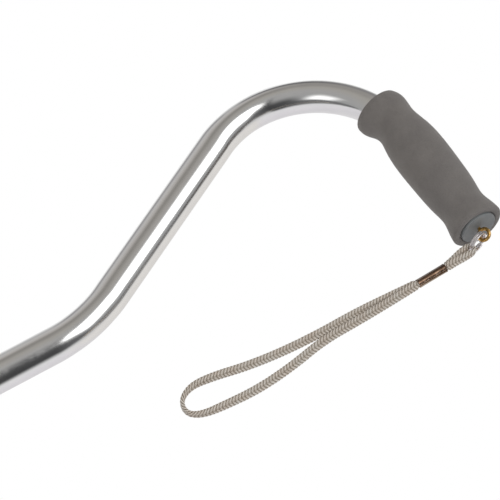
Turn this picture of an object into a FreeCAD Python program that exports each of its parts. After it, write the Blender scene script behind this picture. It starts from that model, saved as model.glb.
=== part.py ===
# Offset-handle adjustable walking cane with a foam grip and a braided wrist strap.
# The origin is the centre of the rubber tip's ground contact.  +Z runs up the shaft, and +X is
# the way the grip points, so the bent tube lies in the XZ plane.  All lengths are millimetres.
import FreeCAD
import Part
import math
import os
from FreeCAD import Vector

# Bent upper tube: straight shaft, lower bend, diagonal, upper bend, grip run.
TUBE_OD = 22.2
TUBE_WALL = 1.2
SHAFT_BOTTOM_Z = 298.0
LOWER_BEND_Z = 720.0
LOWER_BEND_RADIUS = 90.0
LOWER_BEND_DEG = 30.0
DIAGONAL_LENGTH = 120.0
UPPER_BEND_RADIUS = 68.3
UPPER_BEND_DEG = 118.0
GRIP_RUN = 81.5
LOWER_FLATTENING = 0.03
UPPER_FLATTENING = 0.105

# Telescoping leg and its height lock.
LEG_OD = 19.05
LEG_WALL = 1.2
LEG_BOTTOM_Z = 14.0
LEG_TOP_Z = 392.0
HEIGHT_STEP = 25.4
HOLE_COUNT = 10
LOWEST_HOLE_Z = 348.0
HOLE_RADIUS = 3.4
BUTTON_RADIUS = 3.1
BUTTON_REACH = 14.6
BUTTON_FLANGE_RADIUS = 4.0
BUTTON_FLANGE_THICKNESS = 0.6
SPRING_THICKNESS = 0.5
SPRING_WIDTH = 6.0
SPRING_FACE_Y = 6.0
# The folded spring's line, from its free arm down to the fold and up to the arm behind it: Y, and
# height above the lowest hole.
SPRING_LINE = (
    (-6.0, 8.0), (-6.0, -8.0), (-1.6, -36.0), (0.0, -38.0), (1.6, -36.0), (7.3, -4.0), (7.3, 8.0),
)
BUSHING_BORE = 6.0
BUSHING_DEPTH = 14.0
BUSHING_FLANGE = 1.8
BUSHING_CHAMFER = 1.2
BUSHING_GAP = 0.12

# Threaded collar, compression ring and lock nut.
THREAD_PITCH = 3.0
THREAD_ROOT_RADIUS = 12.2
THREAD_HEIGHT = 0.9
THREAD_CLEARANCE = 0.25
THREAD_START_Z = 299.5
COLLAR_LIP = 3.0
COLLAR_FLANGE_Z = 317.0
COLLAR_TOP_Z = 326.0
COLLAR_FLANGE_RADIUS = 14.2
SQUEEZE_BOTTOM_Z = 288.3
SQUEEZE_CONE_Z = 291.5
SQUEEZE_TOP_Z = 294.7
SQUEEZE_RADII = (10.5, 12.0)
SQUEEZE_SLIT = 1.4
NUT_RADIUS = 15.6
NUT_BOTTOM_Z = 284.0
NUT_TOP_Z = 314.8
NUT_SEAT_Z = 287.9
NUT_BORE_Z = 291.6
NUT_SEAT_RADIUS = 10.8
NUT_FLUTES = 16
FLUTE_RADIUS = 1.7
FLUTE_LENGTH = 23.0
SLIDE_GAP = 0.125
LEG_GAP = 0.4

# Foam grip: radius at each distance from its start face, along the tube's centre line.
FOAM_LENGTH = 110.0
FOAM_SETBACK = 1.3
FOAM_EDGE = 3.0
FOAM_CAP_EDGE = 2.2
FOAM_PROFILE = (
    (0.0, 15.6), (5.0, 16.6), (16.5, 14.4), (33.0, 15.8), (51.0, 16.9),
    (67.0, 16.5), (85.0, 15.3), (94.5, 14.5), (105.0, 16.4), (110.0, 17.0),
)
# The sleeve lags behind on the outside of the bend, so its start face leans by this much there.
FOAM_LAG = 3.4
FOAM_BENT_LENGTH = 32.0

# Plastic end cap, screw eye and split ring.
CAP_RADIUS = 11.7
CAP_GAP = 0.7
CAP_THICKNESS = 2.0
CAP_EDGE = 0.8
CAP_PLUG_LENGTH = 18.0
CAP_PLUG_WALL = 1.6
CAP_RIB = 1.4
CAP_BOSS_RADIUS = 3.4
EYE_WIRE_RADIUS = 1.1
EYE_LOOP_RADIUS = 3.5
EYE_REACH = 5.3
EYE_ROLL_DEG = 30.0
EYE_SHANK = 15.0
EYE_POINT = 2.0
EYE_THREAD_PITCH = 1.3
EYE_THREAD_HEIGHT = 0.35
RING_INNER_RADIUS = 5.5
RING_WALL = 1.2
RING_WIDTH = 2.8
RING_SLOT = 0.24
RING_SLOT_DEPTH = 0.4
RING_DROP = 6.3
RING_LEAN_DEG = 22.0

# Braided wrist strap.  It hangs in an upright plane that is turned from the cane's plane.
STRAP_TURN_DEG = 30.6
STRAP_MIDDLE_X = 8.5
BRAID_WIDTH = 5.4
BRAID_THICKNESS = 2.7
BIGHT_INNER_RADIUS = 1.95
BIGHT_LIFT = 0.4
END_GAP = 0.4
CORD_DIAMETER = 3.2
# Ferrule ends: X from the eye, and drop below it.
FERRULE_TOP = (7.3, 31.3)
FERRULE_BOTTOM = (8.3, 50.5)
FERRULE_SIZE = (4.9, 5.4)
FERRULE_CORNER = 1.8
FERRULE_WALL = 0.5
FERRULE_SEAM = 0.3
# Each point: across the strap's plane, drop below the eye, and towards the strap's front.
CORD_ROUTE = (
    (-0.4, 50.8, 1.75), (0.9, 66.0, 1.85), (2.3, 90.0, 1.6), (3.9, 115.0, 0.9),
    (7.3, 140.0, 0.3), (9.7, 164.0, 0.0), (8.7, 186.0, 0.1), (7.2, 200.5, 0.0),
    (2.4, 208.2, 0.0), (-5.8, 207.6, 0.0), (-10.6, 198.5, 0.0), (-9.3, 184.0, -0.1),
    (-5.3, 164.0, 0.0), (-2.8, 141.0, -0.3), (-2.0, 116.0, -0.9), (-2.1, 92.0, -1.6),
    (-0.3, 68.0, -1.9), (-0.4, 50.8, -1.75),
)

# Rubber tip.
TIP_BASE_RADIUS = 19.0
TIP_HEIGHT = 50.0
TIP_NECK_RADIUS = 12.8
TIP_FLOOR = 12.5
TIP_WAIST_RADIUS = 14.8
TIP_BAND_COUNT = 3
TIP_BAND_STEP = 5.0
TIP_BAND_RADIUS = 14.6
TREAD_RADII = (5.0, 9.5, 14.0)
TREAD_WIDTH = 1.6
TREAD_DEPTH = 1.3
WASHER_THICKNESS = 1.5
WASHER_BORE = 3.0

Y_AXIS = Vector(0, 1, 0)
Z_AXIS = Vector(0, 0, 1)
TUBE_RADIUS = TUBE_OD / 2
BORE_RADIUS = TUBE_RADIUS - TUBE_WALL
LEG_RADIUS = LEG_OD / 2
LEG_BORE_RADIUS = LEG_RADIUS - LEG_WALL


def heading(degrees):
    """Unit vector in the cane's plane, measured from +X towards +Z."""
    angle = math.radians(degrees)
    return Vector(math.cos(angle), 0, math.sin(angle))


def tube_ring(inner, outer, bottom, top):
    """Upright hollow cylinder on the Z axis."""
    height = top - bottom
    base = Vector(0, 0, bottom)
    return Part.makeCylinder(outer, height, base).cut(Part.makeCylinder(inner, height, base))


def turned(points):
    """Solid of revolution about Z from (radius, height) points, in millimetres."""
    corners = [Vector(radius, 0, height) for radius, height in points]
    face = Part.Face(Part.makePolygon(corners + corners[:1]))
    return face.revolve(Vector(0, 0, 0), Z_AXIS, 360)


def placed(shape, origin, degrees):
    """Moves a shape from the Z axis onto an axis with that heading through origin."""
    moved = shape.copy()
    moved.rotate(Vector(0, 0, 0), Y_AXIS, 90 - degrees)
    moved.translate(origin)
    return moved


def one_solid(shape):
    """The single solid of a boolean result, checked."""
    solids = shape.Solids
    assert len(solids) == 1 and solids[0].isValid()
    return solids[0]


# The tube's centre line.
GRIP_HEADING = 90 + LOWER_BEND_DEG - UPPER_BEND_DEG
LOWER_BEND_CENTRE = Vector(-LOWER_BEND_RADIUS, 0, LOWER_BEND_Z)
DIAGONAL_START = LOWER_BEND_CENTRE + heading(LOWER_BEND_DEG) * LOWER_BEND_RADIUS
DIAGONAL_END = DIAGONAL_START + heading(90 + LOWER_BEND_DEG) * DIAGONAL_LENGTH
UPPER_BEND_CENTRE = DIAGONAL_END + heading(LOWER_BEND_DEG) * UPPER_BEND_RADIUS
GRIP_START = UPPER_BEND_CENTRE + heading(GRIP_HEADING + 90) * UPPER_BEND_RADIUS
CAP_FACE = GRIP_START + heading(GRIP_HEADING) * GRIP_RUN
EYE_CENTRE = CAP_FACE + heading(GRIP_HEADING) * EYE_REACH
RING_DOWN = heading(RING_LEAN_DEG - 90)
RING_CENTRE = EYE_CENTRE + RING_DOWN * RING_DROP
RING_BOTTOM = RING_CENTRE + RING_DOWN * (RING_INNER_RADIUS + RING_WALL / 2)


def oval(point, degrees, in_plane, across):
    """Closed section square to the centre line, flattened in the plane of the bend."""
    side = point + Y_AXIS * across
    edge = point + heading(degrees + 90) * in_plane
    if across - in_plane < 1e-6:
        return Part.Wire(Part.Circle(side, edge, point - Y_AXIS * across).toShape())
    return Part.Wire(Part.Ellipse(side, edge, point).toShape())


def bend(centre, radius, first_deg, last_deg, flattening, offset):
    """Solid bend of the tube, as thick as the tube's outside less offset.

    first_deg and last_deg say where the bend starts and ends as seen from its centre.
    """
    stations = max(5, round(abs(last_deg - first_deg) / 8) + 1)
    turn = 90 if last_deg > first_deg else -90
    sections = []
    for station in range(stations):
        share = station / (stations - 1)
        angle = first_deg + (last_deg - first_deg) * share
        point = centre + heading(angle) * radius
        squash = flattening * min(1.0, math.sin(math.pi * share) * 1.6)
        in_plane = TUBE_RADIUS * (1 - squash) - offset
        across = TUBE_RADIUS * (1 + 0.55 * squash) - offset
        sections.append(oval(point, angle + turn, in_plane, across))
    return Part.makeLoft(sections, True, False)


def straight(start, direction, length, offset):
    """Solid straight run of the tube, as thick as the tube's outside less offset."""
    return Part.makeCylinder(TUBE_RADIUS - offset, length, start, direction)


def tube_runs(offset):
    """The five runs of the upper tube as solids, offset inward from its outside."""
    lower_deg = (0, LOWER_BEND_DEG)
    upper_deg = (180 + LOWER_BEND_DEG, GRIP_HEADING + 90)
    shaft_start = Vector(0, 0, SHAFT_BOTTOM_Z)
    return [
        straight(shaft_start, Z_AXIS, LOWER_BEND_Z - SHAFT_BOTTOM_Z, offset),
        bend(LOWER_BEND_CENTRE, LOWER_BEND_RADIUS, *lower_deg, LOWER_FLATTENING, offset),
        straight(DIAGONAL_START, heading(90 + LOWER_BEND_DEG), DIAGONAL_LENGTH, offset),
        bend(UPPER_BEND_CENTRE, UPPER_BEND_RADIUS, *upper_deg, UPPER_FLATTENING, offset),
        straight(GRIP_START, heading(GRIP_HEADING), GRIP_RUN - CAP_THICKNESS, offset),
    ]


def side_hole(height):
    """Cutter for one lock hole, through the wall on the -Y side."""
    return Part.makeCylinder(HOLE_RADIUS, 2 * TUBE_RADIUS, Vector(0, 0, height), Y_AXIS * -1)


def make_upper_tube():
    """Bent aluminium tube with the lock holes in its lower end."""
    walls = [outer.cut(inner) for outer, inner in zip(tube_runs(0), tube_runs(TUBE_WALL))]
    tube = walls[0].fuse(walls[1:])
    holes = [side_hole(LOWEST_HOLE_Z + HEIGHT_STEP * count) for count in range(HOLE_COUNT)]
    return one_solid(tube.cut(holes))


def grip_point(distance):
    """Centre-line point and heading at a distance from the foam's start face."""
    along = distance - (FOAM_LENGTH + FOAM_SETBACK - GRIP_RUN)
    if along >= 0:
        return GRIP_START + heading(GRIP_HEADING) * along, GRIP_HEADING
    angle = GRIP_HEADING + 90 - math.degrees(along / UPPER_BEND_RADIUS)
    return UPPER_BEND_CENTRE + heading(angle) * UPPER_BEND_RADIUS, angle - 90


def foam_station(distance, radius):
    """Centre and heading of one section of the foam, which leans more the nearer its start face is."""
    lag = FOAM_LAG * max(0.0, 1 - distance / FOAM_BENT_LENGTH)
    point, degrees = grip_point(distance + lag)
    return point, degrees - math.degrees(math.asin(lag / radius))


def end_rim(body, centre):
    """The circle round the end face that is centred there."""
    def offset(edge):
        return edge.BoundBox.Center.distanceToPoint(centre)
    return [min([edge for edge in body.Edges if edge.Closed], key=offset)]


def make_foam_grip():
    """Contoured sleeve with rounded ends, bored for the tube and recessed for the cap."""
    stations = [(*foam_station(*row), row[1]) for row in FOAM_PROFILE]
    sections = [oval(point, degrees, radius, radius) for point, degrees, radius in stations]
    body = Part.makeLoft(sections, True, False)
    body = body.makeFillet(FOAM_EDGE, end_rim(body, stations[0][0]))
    body = body.makeFillet(FOAM_CAP_EDGE, end_rim(body, stations[-1][0]))
    inward = heading(GRIP_HEADING + 180)
    recess = Part.makeCylinder(CAP_RADIUS + CAP_GAP, CAP_THICKNESS, CAP_FACE, inward)
    return one_solid(body.cut(tube_runs(0)[3:] + [recess]))


def make_end_cap():
    """Plug with a rounded flange, a thin sleeve, a centre boss and four ribs."""
    flange = Part.makeCylinder(CAP_RADIUS, CAP_THICKNESS, Vector(0, 0, -CAP_THICKNESS))
    rim = [edge for edge in flange.Edges if edge.BoundBox.ZMin > -0.1]
    flange = flange.makeFillet(CAP_EDGE, rim)
    plug_bottom = -CAP_THICKNESS - CAP_PLUG_LENGTH
    plug_radius = BORE_RADIUS - 0.1
    sleeve = tube_ring(plug_radius - CAP_PLUG_WALL, plug_radius, plug_bottom, -CAP_THICKNESS)
    boss = Part.makeCylinder(CAP_BOSS_RADIUS, CAP_PLUG_LENGTH, Vector(0, 0, plug_bottom))
    reach = BORE_RADIUS - 1
    rib_corner = Vector(-reach, -CAP_RIB / 2, plug_bottom + 2)
    rib = Part.makeBox(2 * reach, CAP_RIB, CAP_PLUG_LENGTH - 2, rib_corner)
    cross_rib = rib.copy()
    cross_rib.rotate(Vector(0, 0, 0), Z_AXIS, 90)
    pilot_length = EYE_SHANK + 2
    pilot = Part.makeCylinder(EYE_WIRE_RADIUS, pilot_length, Vector(0, 0, 1 - pilot_length))
    plug = flange.fuse([sleeve, boss, rib, cross_rib]).cut(pilot)
    return one_solid(placed(plug, CAP_FACE, GRIP_HEADING))


def helical_ridge(radius, height, pitch, turns, bottom, root_width, crest_width):
    """Screw thread ridge on a cylinder, as a solid that sinks a little into its root."""
    corners = [
        Vector(radius - 0.3, 0, -root_width / 2),
        Vector(radius + height, 0, -crest_width / 2),
        Vector(radius + height, 0, crest_width / 2),
        Vector(radius - 0.3, 0, root_width / 2),
    ]
    profile = Part.makePolygon(corners + corners[:1])
    spine = Part.Wire(Part.makeHelix(pitch, pitch * turns, radius))
    ridge = spine.makePipeShell([profile], True, True)
    ridge.translate(Vector(0, 0, bottom))
    return ridge


def make_screw_eye():
    """Bent brass wire: a closed loop on a threaded, pointed shank."""
    loop = Part.makeTorus(EYE_LOOP_RADIUS, EYE_WIRE_RADIUS, Vector(0, 0, 0), Y_AXIS)
    shank_end = -EYE_LOOP_RADIUS - EYE_SHANK
    shank = Part.makeCylinder(EYE_WIRE_RADIUS, EYE_SHANK, Vector(0, 0, shank_end))
    point = Part.makeCone(0.2, EYE_WIRE_RADIUS, EYE_POINT, Vector(0, 0, shank_end - EYE_POINT))
    thread = helical_ridge(
        EYE_WIRE_RADIUS, EYE_THREAD_HEIGHT, EYE_THREAD_PITCH, 9, shank_end + 0.6, 0.9, 0.3,
    )
    eye = loop.fuse([shank, point, thread])
    eye.rotate(Vector(0, 0, 0), Z_AXIS, EYE_ROLL_DEG)
    return one_solid(placed(eye, EYE_CENTRE, GRIP_HEADING))


def make_split_ring():
    """Flat-wire key ring: one band with the slot between its two turns."""
    half = RING_WIDTH / 2
    outer = RING_INNER_RADIUS + RING_WALL
    ring = tube_ring(RING_INNER_RADIUS, outer, -half, half)
    slot = tube_ring(outer - RING_SLOT_DEPTH, outer + 1, -RING_SLOT / 2, RING_SLOT / 2)
    ring = ring.cut(slot)
    return one_solid(placed(ring, RING_CENTRE, RING_LEAN_DEG))


def strap_point(across, drop, front):
    """A point of the strap: across its plane, below the eye, and towards its front."""
    turn = math.radians(STRAP_TURN_DEG)
    sideways = Vector(math.cos(turn), math.sin(turn), 0) * across
    forward = Vector(math.sin(turn), -math.cos(turn), 0) * front
    return EYE_CENTRE + Vector(STRAP_MIDDLE_X, 0, -drop) + sideways + forward


def below_eye(x, drop):
    """A point in the cane's own plane, at that X and drop from the eye."""
    return EYE_CENTRE + Vector(x, 0, -drop)


def band_outline(length, radius, foot):
    """Flat region from the ferrule up round the ring: a tapered tongue with a round head."""
    right = [Vector(foot, 0, 0), Vector(radius, 0, length)]
    left = [Vector(-radius, 0, length), Vector(-foot, 0, 0)]
    corners = right + left
    tongue = Part.Face(Part.makePolygon(corners + corners[:1]))
    blade = tongue.extrude(Y_AXIS * BRAID_WIDTH)
    head = Part.makeCylinder(radius, BRAID_WIDTH, Vector(0, 0, length), Y_AXIS)
    return blade.fuse(head)


def make_ring_bight():
    """The strap's short upper loop, folded once round the split ring."""
    foot = below_eye(*FERRULE_TOP) + Vector(0, 0, END_GAP)
    rise = RING_BOTTOM - RING_DOWN * BIGHT_LIFT - foot
    outer = band_outline(rise.Length, BIGHT_INNER_RADIUS + BRAID_THICKNESS, BRAID_THICKNESS)
    inner = band_outline(rise.Length, BIGHT_INNER_RADIUS, 0.1)
    bight = outer.cut(inner)
    bight.translate(Y_AXIS * (-BRAID_WIDTH / 2))
    degrees = math.degrees(math.atan2(rise.z, rise.x))
    return one_solid(placed(bight, foot, degrees))


def upright_edges(box):
    return [edge for edge in box.Edges if edge.BoundBox.ZLength > 1]


def make_ferrule():
    """Crimped metal sleeve, open at both ends, with its seam at the strap's front."""
    top, bottom = below_eye(*FERRULE_TOP), below_eye(*FERRULE_BOTTOM)
    length = (top - bottom).Length
    wide, deep = FERRULE_SIZE
    outer = Part.makeBox(wide, deep, length, Vector(-wide / 2, -deep / 2, 0))
    outer = outer.makeFillet(FERRULE_CORNER, upright_edges(outer))
    inside = (wide - 2 * FERRULE_WALL, deep - 2 * FERRULE_WALL)
    bore = Part.makeBox(*inside, length, Vector(-inside[0] / 2, -inside[1] / 2, 0))
    bore = bore.makeFillet(FERRULE_CORNER - FERRULE_WALL, upright_edges(bore))
    seam = Part.makeBox(FERRULE_SEAM, deep, length, Vector(-FERRULE_SEAM / 2, -deep, 0))
    sleeve = outer.cut([bore, seam])
    sleeve.rotate(Vector(0, 0, 0), Z_AXIS, STRAP_TURN_DEG)
    degrees = math.degrees(math.atan2(top.z - bottom.z, top.x - bottom.x))
    return one_solid(placed(sleeve, bottom, degrees))


def rounded_path(points):
    """Straight runs through the points, joined by the largest even tangent arcs."""
    edges = []
    last = points[0]
    for before, corner, after in zip(points, points[1:], points[2:]):
        back, ahead = before - corner, after - corner
        reach = 0.45 * min(back.Length, ahead.Length)
        half_turn = (math.pi - back.getAngle(ahead)) / 2
        radius = reach / math.tan(half_turn)
        back.normalize()
        ahead.normalize()
        inward = (back + ahead).normalize()
        middle = corner + inward * (radius / math.cos(half_turn) - radius)
        enter, leave = corner + back * reach, corner + ahead * reach
        edges.append(Part.LineSegment(last, enter).toShape())
        edges.append(Part.Arc(enter, middle, leave).toShape())
        last = leave
    edges.append(Part.LineSegment(last, points[-1]).toShape())
    return Part.Wire(edges)


def make_wrist_cord():
    """The strap's hanging loop, from one strand at the ferrule round to the other."""
    points = [strap_point(*place) for place in CORD_ROUTE]
    path = rounded_path(points)
    section = Part.Wire(Part.Circle(points[0], points[1] - points[0], CORD_DIAMETER / 2).toShape())
    return one_solid(path.makePipeShell([section], True, False))


def make_threaded_collar():
    """Plastic collar fixed over the tube's end, with an outside thread and a grip flange."""
    lip_bottom = SHAFT_BOTTOM_Z - COLLAR_LIP
    root = THREAD_ROOT_RADIUS
    inner = LEG_RADIUS + SLIDE_GAP
    body = turned((
        (inner, lip_bottom), (root, lip_bottom), (root, COLLAR_FLANGE_Z),
        (COLLAR_FLANGE_RADIUS, COLLAR_FLANGE_Z), (COLLAR_FLANGE_RADIUS, COLLAR_TOP_Z - 2.5),
        (TUBE_RADIUS + 1.2, COLLAR_TOP_Z), (TUBE_RADIUS, COLLAR_TOP_Z),
        (TUBE_RADIUS, SHAFT_BOTTOM_Z), (inner, SHAFT_BOTTOM_Z),
    ))
    thread = helical_ridge(root, THREAD_HEIGHT, THREAD_PITCH, 3.5, THREAD_START_Z, 1.9, 0.7)
    return one_solid(body.fuse(thread))


def make_compression_ring():
    """Split nylon ring with a cone that the nut squeezes onto the leg."""
    inner = LEG_RADIUS + SLIDE_GAP
    narrow, wide = SQUEEZE_RADII
    ring = turned((
        (inner, SQUEEZE_BOTTOM_Z), (narrow, SQUEEZE_BOTTOM_Z), (wide, SQUEEZE_CONE_Z),
        (wide, SQUEEZE_TOP_Z), (inner, SQUEEZE_TOP_Z),
    ))
    slit_corner = Vector(0, -SQUEEZE_SLIT / 2, SQUEEZE_BOTTOM_Z - 1)
    slit = Part.makeBox(TUBE_OD, SQUEEZE_SLIT, SQUEEZE_TOP_Z - SQUEEZE_BOTTOM_Z + 2, slit_corner)
    return one_solid(ring.cut(slit))


def make_lock_nut():
    """Fluted plastic nut with an inside thread and a conical seat."""
    bore = THREAD_ROOT_RADIUS + THREAD_CLEARANCE
    neck = LEG_RADIUS + LEG_GAP
    shell = turned((
        (neck, NUT_BOTTOM_Z), (NUT_RADIUS - 2.0, NUT_BOTTOM_Z),
        (NUT_RADIUS, NUT_BOTTOM_Z + 3.0), (NUT_RADIUS, NUT_TOP_Z - 1.2),
        (NUT_RADIUS - 1.2, NUT_TOP_Z), (bore, NUT_TOP_Z), (bore, NUT_BORE_Z),
        (NUT_SEAT_RADIUS, NUT_SEAT_Z), (neck, NUT_SEAT_Z),
    ))
    groove = helical_ridge(
        THREAD_ROOT_RADIUS, THREAD_HEIGHT + THREAD_CLEARANCE, THREAD_PITCH, 6.5,
        THREAD_START_Z - 2 * THREAD_PITCH, 2.5, 1.3,
    )
    flutes = []
    for count in range(NUT_FLUTES):
        angle = math.tau * count / NUT_FLUTES
        middle = Vector(math.cos(angle), math.sin(angle), 0) * (NUT_RADIUS + 0.9)
        middle.z = NUT_BOTTOM_Z + 4.0
        flutes.append(Part.makeCylinder(FLUTE_RADIUS, FLUTE_LENGTH, middle))
    return one_solid(shell.cut([groove] + flutes))


def make_lower_tube():
    """Telescoping leg with one hole for the button."""
    tube = tube_ring(LEG_BORE_RADIUS, LEG_RADIUS, LEG_BOTTOM_Z, LEG_TOP_Z)
    return one_solid(tube.cut(side_hole(LOWEST_HOLE_Z)))


def make_top_bushing():
    """Flanged plastic glide pressed into the leg's upper end."""
    bottom = LEG_TOP_Z - BUSHING_DEPTH
    shoulder = LEG_TOP_Z + BUSHING_FLANGE
    top = shoulder + BUSHING_CHAMFER
    wide = BORE_RADIUS - BUSHING_GAP
    return one_solid(turned((
        (BUSHING_BORE, bottom), (LEG_BORE_RADIUS, bottom), (LEG_BORE_RADIUS, LEG_TOP_Z),
        (wide, LEG_TOP_Z), (wide, shoulder), (BORE_RADIUS - 1.0, top), (BUSHING_BORE, top),
    )))


def make_button_spring():
    """Folded strip spring: one arm backs on the leg's wall, the other carries the button."""
    left, right = [], []
    for index, (y, rise) in enumerate(SPRING_LINE):
        before = SPRING_LINE[max(index - 1, 0)]
        after = SPRING_LINE[min(index + 1, len(SPRING_LINE) - 1)]
        along = Vector(0, after[0] - before[0], after[1] - before[1]).normalize()
        side = Vector(0, along.z, -along.y) * (SPRING_THICKNESS / 2)
        place = Vector(-SPRING_WIDTH / 2, y, LOWEST_HOLE_Z + rise)
        left.append(place + side)
        right.append(place - side)
    outline = left + right[::-1]
    strip = Part.Face(Part.makePolygon(outline + outline[:1])).extrude(Vector(SPRING_WIDTH, 0, 0))
    return one_solid(strip)


def make_snap_button():
    """Domed steel button on a thin flange that stops it inside the leg."""
    dome_start = BUTTON_REACH - BUTTON_RADIUS * 0.6
    foot = Vector(0, 0, SPRING_FACE_Y + SPRING_THICKNESS / 2)
    shank = Part.makeCylinder(BUTTON_RADIUS, dome_start - foot.z, foot)
    flange = Part.makeCylinder(BUTTON_FLANGE_RADIUS, BUTTON_FLANGE_THICKNESS, foot)
    rise = BUTTON_REACH - dome_start
    dome_radius = (BUTTON_RADIUS ** 2 + rise ** 2) / (2 * rise)
    ball = Part.makeSphere(dome_radius, Vector(0, 0, BUTTON_REACH - dome_radius))
    cap = ball.common(Part.makeCylinder(BUTTON_RADIUS, rise, Vector(0, 0, dome_start)))
    button = shank.fuse([flange, cap])
    button.rotate(Vector(0, 0, 0), Vector(1, 0, 0), 90)
    button.translate(Vector(0, 0, LOWEST_HOLE_Z))
    return one_solid(button)


def make_tip_washer():
    """Steel washer that carries the leg's end in the rubber tip."""
    top = TIP_FLOOR + WASHER_THICKNESS
    return one_solid(tube_ring(WASHER_BORE, LEG_RADIUS - 0.2, TIP_FLOOR, top))


def make_rubber_tip():
    """Flared rubber foot with two raised bands, a grooved tread and a deep socket."""
    outline = [
        (0.0, 0.0), (TIP_BASE_RADIUS - 1.5, 0.0), (TIP_BASE_RADIUS, 1.5),
        (TIP_BASE_RADIUS, 7.0), (TIP_BASE_RADIUS - 2.0, 9.0), (TIP_WAIST_RADIUS, 17.0),
    ]
    for band in range(TIP_BAND_COUNT):
        base = 18.5 + band * TIP_BAND_STEP
        radius = TIP_BAND_RADIUS - band * 0.4
        outline += [(radius - 0.6, base), (radius + 0.4, base + 0.8)]
        outline += [(radius + 0.4, base + 2.6), (radius - 0.7, base + 3.4)]
    lip = TIP_NECK_RADIUS + 0.7
    outline += [
        (TIP_NECK_RADIUS, 36.0), (TIP_NECK_RADIUS - 0.3, TIP_HEIGHT - 4.5),
        (lip, TIP_HEIGHT - 3.5), (lip, TIP_HEIGHT - 0.8), (TIP_NECK_RADIUS, TIP_HEIGHT),
        (LEG_RADIUS, TIP_HEIGHT), (LEG_RADIUS, TIP_FLOOR), (0.0, TIP_FLOOR),
    ]
    tread = [tube_ring(radius, radius + TREAD_WIDTH, 0.0, TREAD_DEPTH) for radius in TREAD_RADII]
    return one_solid(turned(outline).cut(tread))


NODES = {
    "upper_tube": make_upper_tube,
    "foam_grip": make_foam_grip,
    "grip_end_cap": make_end_cap,
    "screw_eye": make_screw_eye,
    "split_ring": make_split_ring,
    "ring_bight": make_ring_bight,
    "cord_ferrule": make_ferrule,
    "wrist_cord": make_wrist_cord,
    "threaded_collar": make_threaded_collar,
    "compression_ring": make_compression_ring,
    "lock_nut": make_lock_nut,
    "lower_tube": make_lower_tube,
    "top_bushing": make_top_bushing,
    "button_spring": make_button_spring,
    "snap_button": make_snap_button,
    "tip_washer": make_tip_washer,
    "rubber_tip": make_rubber_tip,
}

os.makedirs("parts", exist_ok=True)
for name, make in NODES.items():
    shape = make()
    print(f"{name}: {shape.Volume / 1000:.2f} cm3, valid {shape.isValid()}")
    shape.exportStep(f"parts/{name}.step")
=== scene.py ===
import math

import bpy
import numpy as np
from mathutils import Matrix, Vector


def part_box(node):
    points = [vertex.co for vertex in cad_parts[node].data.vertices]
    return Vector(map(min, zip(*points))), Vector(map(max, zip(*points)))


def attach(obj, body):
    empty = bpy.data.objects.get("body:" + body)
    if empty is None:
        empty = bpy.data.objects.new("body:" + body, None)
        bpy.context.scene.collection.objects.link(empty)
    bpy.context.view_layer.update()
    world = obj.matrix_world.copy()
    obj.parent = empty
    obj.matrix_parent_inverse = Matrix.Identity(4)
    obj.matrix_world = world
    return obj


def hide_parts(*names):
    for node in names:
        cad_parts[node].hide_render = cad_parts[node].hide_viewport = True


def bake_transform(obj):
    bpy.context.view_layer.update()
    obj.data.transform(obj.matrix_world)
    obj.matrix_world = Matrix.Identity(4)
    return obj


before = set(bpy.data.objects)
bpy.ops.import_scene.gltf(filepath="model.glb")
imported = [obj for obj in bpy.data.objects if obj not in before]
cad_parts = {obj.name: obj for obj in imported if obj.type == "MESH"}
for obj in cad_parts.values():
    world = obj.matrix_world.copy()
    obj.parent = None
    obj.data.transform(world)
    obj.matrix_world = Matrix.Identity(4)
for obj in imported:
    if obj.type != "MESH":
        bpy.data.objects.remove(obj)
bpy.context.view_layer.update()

# ---------------------------------------------------------------- sizes, in metres
MM = 0.001
TUBE_RADIUS = 11.1 * MM
TUBE_WALL = 1.2 * MM
LOWER_BEND_Z = 720.0 * MM
LOWER_BEND_RADIUS = 90.0 * MM
LOWER_BEND_DEG = 30.0
DIAGONAL_LENGTH = 120.0 * MM
UPPER_BEND_RADIUS = 68.3 * MM
UPPER_BEND_DEG = 118.0
GRIP_RUN = 81.5 * MM
LOWER_FLATTENING = 0.03
UPPER_FLATTENING = 0.105
FLATTENING_RAMP = 1.6
BEND_WIDENING = 0.55
TUBE_SIDES = 96
TUBE_END_SETBACK = 2.0 * MM
HOLE_RADIUS = 3.4 * MM
LOWEST_HOLE_Z = 348.0 * MM
HEIGHT_STEP = 25.4 * MM
HOLE_COUNT = 10
HOLE_HALF_CELLS = 6
HOLE_BREAK = 0.14 * MM
HOLE_LAND = 8.0 * MM
SPRING_WIDTH = 6.0 * MM
SPRING_THICKNESS = 0.5 * MM
SPRING_EDGE = 0.12 * MM
SPRING_STEPS = 120
# The folded spring's line: Y, and height above the lowest hole, in millimetres.
SPRING_LINE = (
    (-6.0, 8.0), (-6.0, 0.0), (-6.0, -8.0), (-1.6, -36.0),
    (0.0, -38.0), (1.6, -36.0), (7.3, -4.0), (7.3, 8.0),
)
EYE_REACH = 5.3 * MM
GRIP_DEG = 90.0 + LOWER_BEND_DEG - UPPER_BEND_DEG

# Foam grip: radius at each distance from its start face, in millimetres.
FOAM_LENGTH = 110.0
FOAM_SETBACK = 1.3
FOAM_EDGE = 2.0
FOAM_CAP_EDGE = 1.5
FOAM_PROFILE = (
    (0.0, 15.6), (5.0, 16.6), (16.5, 14.4), (33.0, 15.8), (51.0, 16.9),
    (67.0, 16.5), (85.0, 15.3), (94.5, 14.5), (105.0, 16.4), (110.0, 17.0),
)
FOAM_LAG = 3.4
FOAM_BENT_LENGTH = 32.0
FOAM_ROUND_STEPS = 10
CAP_POCKET_RADIUS = 12.4
CAP_POCKET_DEPTH = 0.7
CAP_POCKET_BREAK = (0.15, 0.12)
BORE_CLEARANCE = 0.05
BORE_BREAK = (0.25, 0.3)

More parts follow.
